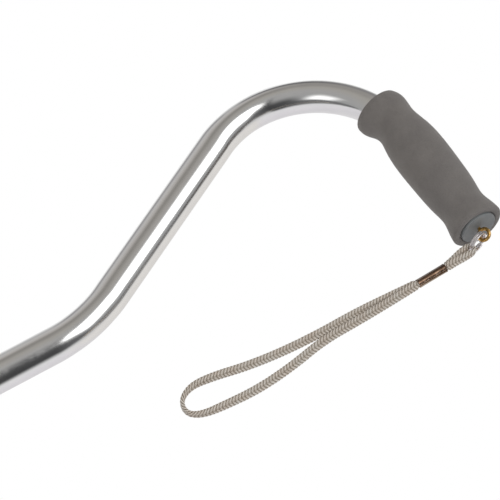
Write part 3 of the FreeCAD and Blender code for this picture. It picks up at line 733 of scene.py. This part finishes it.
class Maker:
    """Short names for building one node tree."""

    def __init__(self, tree):
        self.tree = tree
        self.column = 0

    def node(self, kind, links=(), **settings):
        """A new node, with its inputs linked or set by name."""
        made = self.tree.nodes.new(kind)
        self.column += 1
        made.location = (self.column * 60 - 1800, (self.column % 7) * -160)
        for name, value in settings.items():
            setattr(made, name, value)
        for name, value in dict(links).items():
            self.put(made.inputs[name], value)
        return made

    def put(self, socket, value):
        if isinstance(value, bpy.types.NodeSocket):
            self.tree.links.new(value, socket)
        else:
            socket.default_value = value

    def math(self, operation, *values, clamp=False):
        made = self.node("ShaderNodeMath", operation=operation, use_clamp=clamp)
        for index, value in enumerate(values):
            self.put(made.inputs[index], value)
        return made.outputs[0]

    def map_range(self, value, numbers, **settings):
        made = self.node("ShaderNodeMapRange", {"Value": value}, **settings)
        for socket, number in zip(("From Min", "From Max", "To Min", "To Max"), numbers):
            self.put(made.inputs[socket], number)
        return made.outputs[0]

    def smooth(self, value, low, high, out_low=0.0, out_high=1.0):
        """Passes smoothly from out_low to out_high as value goes from low to high."""
        return self.map_range(value, (low, high, out_low, out_high), interpolation_type="SMOOTHSTEP")

    def line(self, value, low, high, out_low, out_high):
        """Goes in a straight line from out_low to out_high, and stays there outside low and high."""
        return self.map_range(value, (low, high, out_low, out_high))

    def window(self, value, low, high, soft_low, soft_high=None):
        """1 between low and high, with a smooth edge of the given softness each way."""
        soft_high = soft_low if soft_high is None else soft_high
        rise = self.smooth(value, low - soft_low, low + soft_low)
        fall = self.smooth(value, high - soft_high, high + soft_high, 1.0, 0.0)
        return self.math("MULTIPLY", rise, fall)

    def edge(self, value, at, soft):
        """Rises smoothly from 0 to 1 as value passes at, over a distance of soft each way."""
        passed = self.math("SUBTRACT", value, at)
        numbers = (self.math("MULTIPLY", soft, -1.0), soft, 0.0, 1.0)
        return self.map_range(passed, numbers, interpolation_type="SMOOTHSTEP")

    def ramp(self, value, stops):
        """Colour at value, along stops of place and colour."""
        made = self.node("ShaderNodeValToRGB", {"Fac": value})
        elements = made.color_ramp.elements
        while len(elements) < len(stops):
            elements.new(0.5)
        for element, (place, colour) in zip(elements, stops):
            element.position = place
            element.color = colour
        return made.outputs["Color"]

    def noise(self, vector, scale, detail=3.0, roughness=0.5):
        made = self.node("ShaderNodeTexNoise", {"Vector": vector})
        made.inputs["Scale"].default_value = scale
        made.inputs["Detail"].default_value = detail
        made.inputs["Roughness"].default_value = roughness
        return made.outputs["Fac"]

    def attribute(self, name):
        return self.node("ShaderNodeAttribute", attribute_name=name).outputs["Fac"]

    def object_place(self):
        return self.node("ShaderNodeTexCoord").outputs["Object"]

    def stretched(self, vector, scale):
        made = self.node("ShaderNodeMapping", {"Vector": vector})
        made.inputs["Scale"].default_value = scale
        return made.outputs["Vector"]

    def bump(self, height, strength, distance):
        made = self.node("ShaderNodeBump", {"Height": height})
        made.inputs["Strength"].default_value = strength
        made.inputs["Distance"].default_value = distance
        return made.outputs["Normal"]

    def mix(self, factor, a, b, blend="MIX"):
        made = self.node("ShaderNodeMix", data_type="RGBA", blend_type=blend)
        self.put(made.inputs["Factor"], factor)
        self.put(made.inputs[6], a)
        self.put(made.inputs[7], b)
        return made.outputs[2]


def material(name, build, **constants):
    """A node material: build(maker) gives what is linked, and constants are set on the shader."""
    made = bpy.data.materials.new(name)
    made.use_nodes = True
    shader = made.node_tree.nodes["Principled BSDF"]
    for socket, value in constants.items():
        shader.inputs[socket.replace("_", " ")].default_value = value
    maker = Maker(made.node_tree)
    for socket, value in build(maker).items():
        maker.put(shader.inputs[socket], value)
    return made


def aluminium(m):
    """Bright tube, with faint drawing streaks along it and a blotchy polish."""
    place = m.object_place()
    along = m.attribute("along")
    streak_place = m.node("ShaderNodeCombineXYZ", {"X": m.math("MULTIPLY", along, 0.012)})
    normal = m.node("ShaderNodeTexCoord").outputs["Normal"]
    around = m.node("ShaderNodeVectorMath", operation="ADD")
    m.put(around.inputs[0], normal)
    m.put(around.inputs[1], streak_place.outputs[0])
    streaks = m.noise(around.outputs[0], 60.0, 4.0, 0.6)
    blotch = m.noise(place, 90.0, 3.0, 0.6)
    specks = m.noise(place, 900.0, 2.0, 0.5)
    rough = m.math("ADD", m.smooth(streaks, 0.3, 0.7, 0.10, 0.14), m.smooth(blotch, 0.35, 0.7, 0.0, 0.03))
    tone = m.ramp(blotch, ((0.3, srgb(238, 238, 238)), (0.7, srgb(243, 243, 242))))
    height = m.math("ADD", m.math("MULTIPLY", streaks, 0.7), m.math("MULTIPLY", specks, 0.3))
    return {"Base Color": tone, "Roughness": rough, "Normal": m.bump(height, 0.02, 0.00001)}


def leg_aluminium(m):
    """Duller tube, streaked lengthwise."""
    place = m.object_place()
    streaks = m.noise(m.stretched(place, (900.0, 900.0, 12.0)), 1.0, 3.0, 0.6)
    blotch = m.noise(place, 80.0)
    rough = m.smooth(streaks, 0.3, 0.7, 0.16, 0.24)
    tone = m.ramp(blotch, ((0.3, srgb(228, 229, 232)), (0.7, srgb(238, 238, 240))))
    return {"Base Color": tone, "Roughness": rough, "Normal": m.bump(streaks, 0.06, 0.00002)}


def foam_rubber(m):
    """Grey closed-cell foam: fine cells, cloudy patches and a little wear."""
    place = m.object_place()
    cells = m.noise(place, 2600.0, 3.0, 0.65)
    grain = m.noise(place, 900.0, 3.0, 0.6)
    patches = m.noise(place, 95.0, 4.0, 0.6)
    wear = m.noise(place, 28.0, 2.0, 0.5)
    tone = m.ramp(patches, ((0.28, srgb(122, 118, 116)), (0.75, srgb(133, 129, 126))))
    speck = m.ramp(cells, ((0.32, srgb(206, 204, 202)), (0.55, srgb(255, 255, 255))))
    colour = m.mix(0.55, tone, speck, "MULTIPLY")
    tinted = m.mix(m.smooth(wear, 0.35, 0.7, 0.0, 0.15), colour, srgb(132, 126, 119))
    height = m.math("ADD", m.math("MULTIPLY", cells, 0.5), m.math("MULTIPLY", grain, 0.5))
    rough = m.smooth(grain, 0.3, 0.7, 0.82, 0.95)
    return {"Base Color": tinted, "Roughness": rough, "Normal": m.bump(height, 0.35, 0.00025)}


def moulded(dark, light, rough=(0.38, 0.52)):
    """Fine-grained plastic between two tones."""
    def build(m):
        place = m.object_place()
        grain = m.noise(place, 600.0, 3.0, 0.6)
        patches = m.noise(place, 70.0, 2.0)
        tone = m.ramp(patches, ((0.3, dark), (0.7, light)))
        return {"Base Color": tone, "Roughness": m.smooth(grain, 0.3, 0.7, *rough),
                "Normal": m.bump(grain, 0.12, 0.0001)}
    return build


def brass(m):
    """Brass with spots of tarnish."""
    place = m.object_place()
    tarnish = m.noise(place, 420.0, 3.0, 0.6)
    fine = m.noise(place, 2500.0, 2.0)
    tone = m.ramp(tarnish, (
        (0.3, srgb(162, 120, 60)), (0.55, srgb(214, 173, 104)), (0.8, srgb(234, 206, 150))))
    return {"Base Color": tone, "Roughness": m.smooth(fine, 0.3, 0.7, 0.18, 0.32),
            "Normal": m.bump(fine, 0.08, 0.00005)}


def nickel(m):
    """Bright plating on the split ring."""
    place = m.object_place()
    fine = m.noise(place, 1800.0, 2.0)
    patches = m.noise(place, 300.0, 2.0)
    tone = m.ramp(patches, ((0.3, srgb(232, 227, 230)), (0.7, srgb(244, 241, 243))))
    return {"Base Color": tone, "Roughness": m.smooth(fine, 0.3, 0.7, 0.2, 0.3),
            "Normal": m.bump(fine, 0.02, 0.00002)}


def bronze(m):
    """Rolled sheet, with a painted dark reflection on one side and a painted highlight on the other."""
    place = m.object_place()
    patches = m.noise(place, 380.0, 3.0, 0.6)
    scratch = m.noise(m.stretched(place, (2600.0, 2600.0, 120.0)), 1.0, 2.0)
    tone = m.ramp(patches, (
        (0.3, srgb(100, 78, 62)), (0.6, srgb(136, 112, 94)), (0.8, srgb(160, 136, 118))))
    side = m.attribute("side")
    # Painted light: a dark reflection painted on the sheet's one side and a bright highlight painted on the
    # other, set by the side attribute.
    painted_dark_reflection = m.mix(m.smooth(side, -0.85, -0.35, 0.9, 0.0), tone, srgb(72, 52, 38))
    painted_highlight = m.mix(m.smooth(side, 0.85, 1.15, 0.0, 0.6), painted_dark_reflection, srgb(214, 200, 180))
    return {"Base Color": painted_highlight, "Roughness": m.smooth(scratch, 0.3, 0.7, 0.2, 0.38),
            "Normal": m.bump(scratch, 0.15, 0.00005)}


def steel(m):
    """Plain steel of the button, its spring and the washer."""
    place = m.object_place()
    fine = m.noise(place, 900.0, 3.0)
    tone = m.ramp(fine, ((0.3, srgb(196, 198, 202)), (0.7, srgb(222, 223, 226))))
    return {"Base Color": tone, "Roughness": m.smooth(fine, 0.3, 0.7, 0.16, 0.3),
            "Normal": m.bump(fine, 0.05, 0.00003)}


def braid(m):
    """Pale stitches with painted shade in the gaps between them and along the braid's edges, each of several
    yarns.
    """
    ridge = m.attribute("ridge")
    stitch, around = m.attribute("stitch"), m.attribute("around")
    place = m.object_place()
    yarn_place = m.node("ShaderNodeCombineXYZ", {"X": m.math("MULTIPLY", stitch, 9.0),
                                                "Y": m.math("MULTIPLY", around, 1.2)})
    yarn = m.noise(yarn_place.outputs[0], 1.0, 2.0, 0.6)
    fuzz = m.noise(place, 3800.0, 2.0)
    patches = m.noise(place, 160.0, 3.0, 0.6)
    # Painted shade: the ridge attribute darkens the colour in the grooves between stitches and along the
    # braid's edges.
    lit = m.ramp(ridge, (
        (0.0, srgb(139, 129, 114)), (0.4, srgb(197, 190, 179)),
        (0.8, srgb(231, 226, 218)), (1.0, srgb(240, 237, 230))))
    yarn_tone = m.ramp(yarn, ((0.3, srgb(205, 200, 196)), (0.65, srgb(255, 255, 255))))
    warm = m.ramp(patches, ((0.3, srgb(246, 238, 232)), (0.7, srgb(255, 255, 255))))
    colour = m.mix(1.0, m.mix(0.8, lit, yarn_tone, "MULTIPLY"), warm, "MULTIPLY")
    height = m.math("ADD", m.math("MULTIPLY", yarn, 0.7), m.math("MULTIPLY", fuzz, 0.3))
    return {"Base Color": colour, "Roughness": m.smooth(yarn, 0.3, 0.7, 0.62, 0.8),
            "Normal": m.bump(height, 0.5, 0.00015)}


def rubber(m):
    """Black rubber with a little dust."""
    place = m.object_place()
    grain = m.noise(place, 700.0, 3.0, 0.6)
    dust = m.noise(place, 60.0, 3.0, 0.6)
    tone = m.ramp(dust, ((0.35, srgb(44, 44, 45)), (0.75, srgb(62, 61, 60))))
    return {"Base Color": tone, "Roughness": m.smooth(grain, 0.3, 0.7, 0.55, 0.75),
            "Normal": m.bump(grain, 0.25, 0.00015)}


MATERIALS = {
    "upper_tube": material("anodised_aluminium", aluminium, Metallic=1.0),
    "lower_tube": material("leg_aluminium", leg_aluminium, Metallic=1.0),
    "foam_grip": material("grey_foam", foam_rubber, Sheen_Weight=0.12, Sheen_Roughness=0.5),
    "grip_end_cap": material("cap_plastic", moulded(srgb(116, 120, 122), srgb(134, 137, 138)),
                             Specular_IOR_Level=0.5),
    "screw_eye": material("brass", brass, Metallic=1.0),
    "split_ring": material("nickel", nickel, Metallic=0.85),
    "cord_ferrule": material("bronze_sheet", bronze, Metallic=1.0),
    "wrist_cord": material("braided_polyester", braid, Sheen_Weight=0.25, Sheen_Roughness=0.4),
    "threaded_collar": material("collar_plastic", moulded(srgb(52, 53, 55), srgb(64, 65, 67))),
    "compression_ring": material("nylon", moulded(srgb(206, 204, 196), srgb(222, 220, 212))),
    "lock_nut": material("nut_plastic", moulded(srgb(58, 59, 61), srgb(72, 73, 75), (0.42, 0.58))),
    "top_bushing": material("bushing_plastic", moulded(srgb(190, 188, 180), srgb(206, 204, 198))),
    "button_spring": material("spring_steel", steel, Metallic=1.0),
    "snap_button": material("button_steel", steel, Metallic=1.0),
    "tip_washer": material("washer_steel", steel, Metallic=1.0),
    "rubber_tip": material("black_rubber", rubber),
}
for name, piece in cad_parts.items():
    finish = MATERIALS.get(name, MATERIALS["wrist_cord"])
    for slot in piece.material_slots:
        slot.material = finish
for piece, name in ((tube, "upper_tube"), (foam, "foam_grip"), (ring, "split_ring"),
                    (ferrule, "cord_ferrule"), (strap, "wrist_cord"), (spring, "button_spring")):
    piece.data.materials.append(MATERIALS[name])


# ---------------------------------------------------------------- studio
STUDIO_LIGHT = 1.14
UPPER_BOX_LIGHT = 2.0
LOWER_BOX_LIGHT = 0.85


def look_direction(m):
    """Each direction's degrees round from the camera's side, and degrees above level."""
    direction = m.node("ShaderNodeTexCoord").outputs["Generated"]
    turn = math.radians(CAMERA_DEG)
    parts = []
    for axis in ((math.cos(turn), math.sin(turn), 0.0), (math.sin(turn), -math.cos(turn), 0.0)):
        dot = m.node("ShaderNodeVectorMath", operation="DOT_PRODUCT")
        m.put(dot.inputs[0], direction)
        dot.inputs[1].default_value = axis
        parts.append(dot.outputs["Value"])
    azimuth = m.math("MULTIPLY", m.math("ARCTAN2", *parts), 180 / math.pi)
    height = m.node("ShaderNodeSeparateXYZ", {"Vector": direction}).outputs["Z"]
    return azimuth, m.math("MULTIPLY", m.math("ARCSINE", height), 180 / math.pi)


def light_walls(m, azimuth, rise):
    """Walls all round, a lower band of tones that passes into an upper one."""
    share = m.math("ADD", m.math("DIVIDE", azimuth, 360.0), 0.5)

    def stops(rows):
        return [((degrees + 180) / 360, srgb(*(value if isinstance(value, tuple) else (value,) * 3)))
                for degrees, value in rows]

    low = m.ramp(share, stops((
        (-180, 255), (-162, 252), (-150, 246), (-139, 226), (-126, 193), (-114, (177, 176, 175)),
        (-102, (181, 179, 178)), (-92, (175, 172, 169)), (-84, (165, 161, 158)), (-77, (145, 142, 138)),
        (-69, (131, 128, 124)), (-58, (143, 140, 136)), (-46, (156, 153, 148)), (-20, (157, 156, 155)),
        (30, 152), (62, 152), (72, 196), (80, (215, 214, 216)), (110, (213, 210, 214)),
        (135, (207, 205, 208)), (165, (213, 211, 213)), (180, 242),
    )))
    high = m.ramp(share, stops((
        (-180, 254), (-138, 254), (-127, 244), (-119, 200), (-111, 150), (-102, (134, 132, 130)),
        (-90, (133, 131, 128)), (-78, (139, 136, 133)), (-66, (144, 141, 138)), (-54, (151, 148, 145)),
        (-42, (157, 154, 151)), (-20, 158), (30, 152), (62, 152), (74, 192),
        (84, (212, 209, 206)), (100, (217, 214, 211)), (155, (209, 206, 203)), (180, 236),
    )))
    return m.mix(m.smooth(rise, 9.0, 22.0), low, high)


def dark_gap(m, wall, azimuth, rise, shaft_only):
    """The walls with a thin slanting dark line in them, faint in the directions that the shaft shows."""
    line_at = m.line(rise, -8.0, 34.0, -124.0, -92.0)
    off_line = m.math("ABSOLUTE", m.math("SUBTRACT", azimuth, line_at))
    strength = m.math("MULTIPLY", m.smooth(off_line, 2.0, 15.0, 1.0, 0.0),
                      m.smooth(shaft_only, 0.0, 1.0, 0.85, 0.12))
    tone = m.ramp(m.math("DIVIDE", rise, 90.0, clamp=True), (
        (0.0, srgb(138, 136, 138)), (0.12, srgb(104, 102, 105)), (0.2, srgb(84, 83, 86)),
        (0.28, srgb(90, 89, 91)), (0.36, srgb(126, 124, 125))))
    return m.mix(strength, wall, tone)


def dark_strip(m, wall, azimuth, rise, shaft_only):
    """The walls with a broad dark strip in front, towards the camera's right, with slanting edges."""
    tone = m.ramp(m.math("DIVIDE", m.math("ADD", rise, 90.0), 180.0), [
        ((degrees + 90) / 180, srgb(grey, grey, grey + 1)) for degrees, grey in
        ((-60, 104), (-39, 103), (-25, 92), (-12, 74), (4, 60), (9, 74), (16, 92), (30, 103), (55, 108))
    ])
    below = m.window(rise, -26.0, 3.0, 5.0, 2.0)
    left = m.math("ADD", m.line(rise, 7.0, 27.0, 12.0, 42.0), m.smooth(rise, -29.0, -11.0, 30.0, 8.0))
    left = m.math("SUBTRACT", left, m.math("MULTIPLY", shaft_only, 30.0))
    right = m.math("SUBTRACT", 75.0, m.math("MULTIPLY", shaft_only, 8.0))
    right = m.math("SUBTRACT", right, m.math("MULTIPLY", m.window(rise, 3.0, 33.0, 8.0, 4.0), 12.0))
    soft = m.math("ADD", m.smooth(below, 0.0, 1.0, 9.0, 20.0), m.math("MULTIPLY", shaft_only, 6.0))
    strip = m.math("MULTIPLY", m.edge(azimuth, left, soft), m.edge(right, azimuth, 8.0))
    return m.mix(strip, wall, tone)


def soft_boxes(m, azimuth, rise):
    """Brightness of two soft boxes, a tall slanting one in front and above, and a small one below."""
    left = m.line(rise, 7.0, 24.0, 3.0, -25.0)
    right = m.math("MINIMUM", m.line(rise, 6.0, 26.0, 6.0, 33.0), m.line(rise, 26.0, 48.0, 33.0, 20.0))
    upper = m.math("MULTIPLY", m.edge(azimuth, left, 10.0), m.edge(right, azimuth, 9.0))
    upper = m.math("MULTIPLY", upper, m.window(rise, 9.5, 60.0, 2.5, 6.0))
    lower = m.math("MULTIPLY", m.window(azimuth, 8.0, 41.0, 15.0, 8.0), m.window(rise, -52.0, -29.0, 6.0))
    upper, lower = m.math("MULTIPLY", upper, UPPER_BOX_LIGHT), m.math("MULTIPLY", lower, LOWER_BOX_LIGHT)
    return m.math("ADD", upper, lower)


def studio_world():
    """Soft studio round the object, by direction: light walls, two soft boxes and dark bands."""
    world = bpy.data.worlds.new("studio")
    world.use_nodes = True
    bpy.context.scene.world = world
    m = Maker(world.node_tree)
    azimuth, rise = look_direction(m)
    shaft_only = m.window(rise, 2.6, 7.4, 1.8)
    wall = light_walls(m, azimuth, rise)
    wall = dark_gap(m, wall, azimuth, rise, shaft_only)
    wall = dark_strip(m, wall, azimuth, rise, shaft_only)

    strength = soft_boxes(m, azimuth, rise)
    glow = m.node("ShaderNodeCombineXYZ", {axis: strength for axis in "XYZ"})
    lit = m.node("ShaderNodeVectorMath", operation="ADD")
    m.put(lit.inputs[0], wall)
    m.put(lit.inputs[1], glow.outputs[0])
    scaled = m.node("ShaderNodeVectorMath", {"Scale": STUDIO_LIGHT}, operation="SCALE")
    m.put(scaled.inputs[0], lit.outputs[0])

    seen = m.node("ShaderNodeLightPath").outputs["Is Camera Ray"]
    colour = m.mix(seen, scaled.outputs[0], (1.0, 1.0, 1.0, 1.0))
    background = world.node_tree.nodes["Background"]
    m.put(background.inputs["Color"], colour)
    background.inputs["Strength"].default_value = 1.0


def add_floor():
    """Plain pale disc, which can be seen through from below."""
    radius, sides = 2.2, 96
    turns = [math.tau * k / sides for k in range(sides)]
    vertices = [(radius * math.cos(turn), radius * math.sin(turn), 0.0) for turn in turns]
    floor = add_object("floor", vertices, [tuple(range(sides))])
    floor.visible_glossy = False

    def build(m):
        place = m.object_place()
        tone = m.ramp(m.noise(place, 9.0), ((0.3, srgb(238, 238, 238)), (0.7, srgb(244, 244, 244))))
        backface = m.node("ShaderNodeNewGeometry").outputs["Backfacing"]
        return {"Base Color": tone, "Alpha": m.math("SUBTRACT", 1.0, backface)}
    floor.data.materials.append(material("pale_floor", build, Roughness=0.9))


studio_world()
add_floor()
bpy.context.scene.view_settings.view_transform = "Standard"
